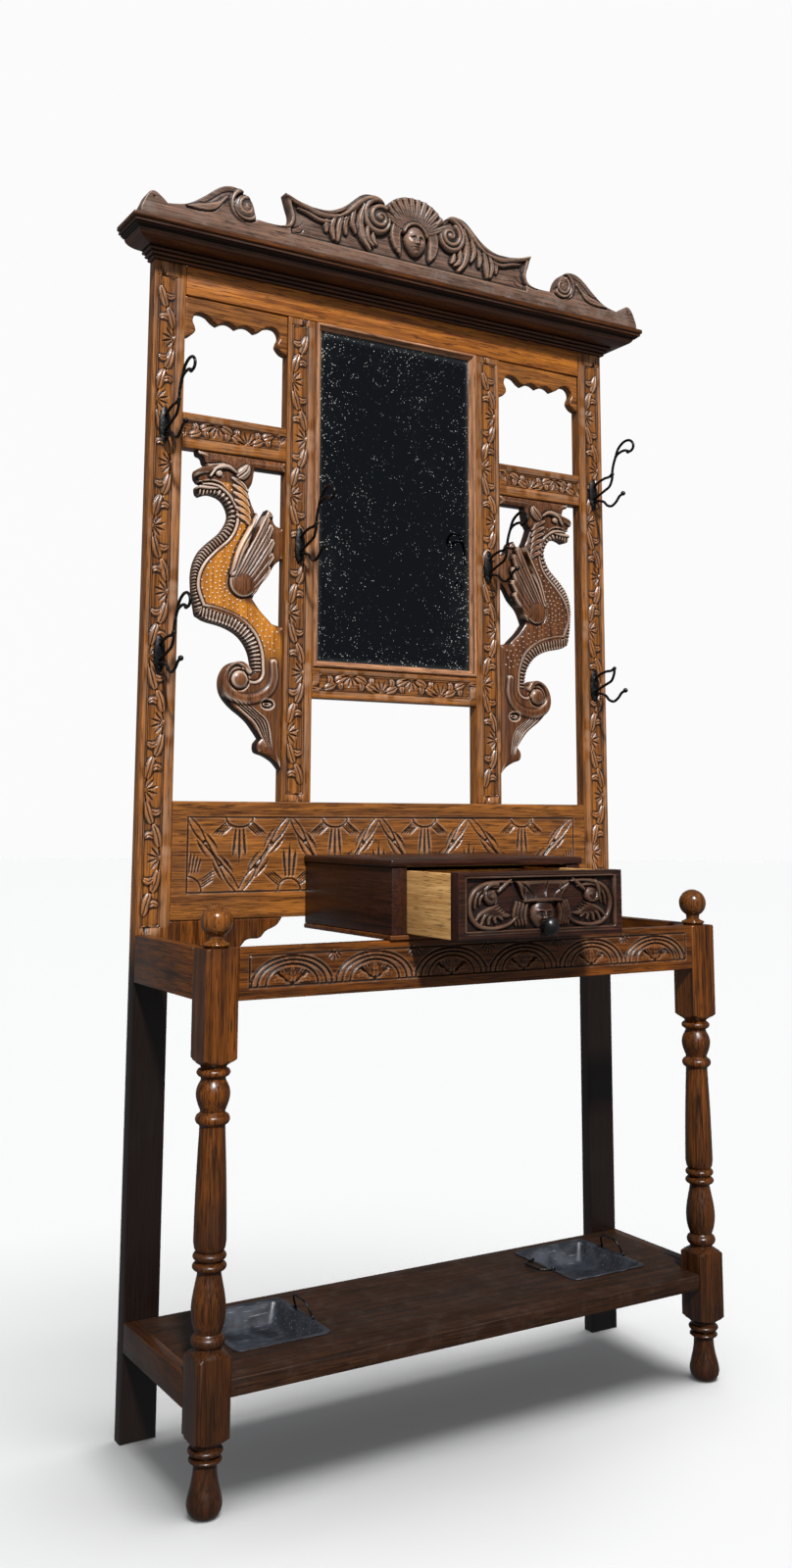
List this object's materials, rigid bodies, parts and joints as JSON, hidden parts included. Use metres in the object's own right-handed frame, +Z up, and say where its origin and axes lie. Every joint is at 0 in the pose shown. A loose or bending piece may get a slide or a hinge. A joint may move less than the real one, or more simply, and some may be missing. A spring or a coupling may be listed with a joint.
{
  "type": "hall tree",
  "caption": "Tall carved oak hall tree with a framed mirror, iron coat hooks, a shallow glove-drawer table with umbrella wells, and a low shelf with lift-out drip trays.",
  "frame": {"origin": "middle of the footprint on the floor, with the drawer as it stands at rest", "axes": "+Z up, +X towards the right-hand end seen from the front, +Y towards the wall, so the front faces -Y"},
  "size_m": [1.128, 0.4964, 2.1483],
  "materials": {
    "carved_oak": "stained and waxed carved oak, worn on the high places",
    "plain_oak": "stained and waxed oak, satin",
    "dark_oak": "dark stained oak, satin",
    "shelf_oak": "dark stained oak, dull and scuffed",
    "drawer_oak": "unfinished light oak",
    "polished_oak": "polished oak",
    "ebonised_wood": "black, satin",
    "iron": "blackened iron",
    "tray_iron": "dark blue-grey paint, worn",
    "mirror": "old silvered mirror",
    "backboard": "rough sawn, stained"
  },
  "bodies": {
    "frame": {"back_stile_left": "carved_oak", "back_stile_right": "carved_oak", "inner_stile_left": "carved_oak", "inner_stile_right": "carved_oak", "frieze_rail": "plain_oak", "carved_board": "carved_oak", "short_rail_left": "carved_oak", "short_rail_right": "carved_oak", "mirror_rail": "carved_oak", "spandrel_left": "carved_oak", "spandrel_right": "carved_oak", "corner_bracket_left": "carved_oak", "corner_bracket_right": "carved_oak", "dragon_left": "carved_oak", "dragon_right": "carved_oak", "cornice_front": "plain_oak", "cornice_return_left": "plain_oak", "cornice_return_right": "plain_oak", "cornice_cap": "dark_oak", "crest": "carved_oak", "mirror_moulding_top": "plain_oak", "mirror_moulding_bottom": "plain_oak", "mirror_moulding_left": "plain_oak", "mirror_moulding_right": "plain_oak", "mirror_glass": "mirror", "mirror_backboard": "backboard", "post_left": "dark_oak", "post_right": "dark_oak", "finial_left": "polished_oak", "finial_right": "polished_oak", "front_rail": "carved_oak", "end_rail_left": "dark_oak", "end_rail_right": "dark_oak", "box_side_left": "dark_oak", "box_side_right": "dark_oak", "box_top": "dark_oak", "box_floor": "dark_oak", "box_back": "dark_oak", "shelf_bearer_left": "dark_oak", "shelf_bearer_right": "dark_oak", "shelf_board": "shelf_oak", "hook_upper_left": "iron", "hook_upper_right": "iron", "hook_lower_left": "iron", "hook_lower_right": "iron", "hook_mirror_left": "iron", "hook_mirror_right": "iron"},
    "drawer": {"drawer_front": "carved_oak", "drawer_side_left": "drawer_oak", "drawer_side_right": "drawer_oak", "drawer_back": "drawer_oak", "drawer_floor": "drawer_oak", "drawer_knob": "ebonised_wood"},
    "left_tray": {"tray_left": "tray_iron"},
    "right_tray": {"tray_right": "tray_iron"},
    "left_tray_bail_a": {"tray_left_handle_left": "tray_iron"},
    "left_tray_bail_b": {"tray_left_handle_right": "tray_iron"},
    "right_tray_bail_a": {"tray_right_handle_left": "tray_iron"},
    "right_tray_bail_b": {"tray_right_handle_right": "tray_iron"}
  },
  "joints": [
    {"name": "drawer_slide", "type": "slide", "parent": "frame", "child": "drawer", "axis": [0, -1, 0], "range_m": [-0.145, 0.05]},
    {"name": "left_tray_lift", "type": "slide", "parent": "frame", "child": "left_tray", "axis": [0, 0, 1], "range_m": [0, 0.12]},
    {"name": "right_tray_lift", "type": "slide", "parent": "frame", "child": "right_tray", "axis": [0, 0, 1], "range_m": [0, 0.12]},
    {"name": "left_tray_bail_a_turn", "type": "hinge", "parent": "left_tray", "child": "left_tray_bail_a", "pos_m": [-0.397, 0.11015, 0.1851], "axis": [0, 1, 0], "range_deg": [0, 150]},
    {"name": "left_tray_bail_b_turn", "type": "hinge", "parent": "left_tray", "child": "left_tray_bail_b", "pos_m": [-0.239, 0.11015, 0.1851], "axis": [0, 1, 0], "range_deg": [0, 112]},
    {"name": "right_tray_bail_a_turn", "type": "hinge", "parent": "right_tray", "child": "right_tray_bail_a", "pos_m": [0.239, 0.11015, 0.1851], "axis": [0, 1, 0], "range_deg": [0, 150]},
    {"name": "right_tray_bail_b_turn", "type": "hinge", "parent": "right_tray", "child": "right_tray_bail_b", "pos_m": [0.397, 0.11015, 0.1851], "axis": [0, 1, 0], "range_deg": [0, 112]}
  ]
}
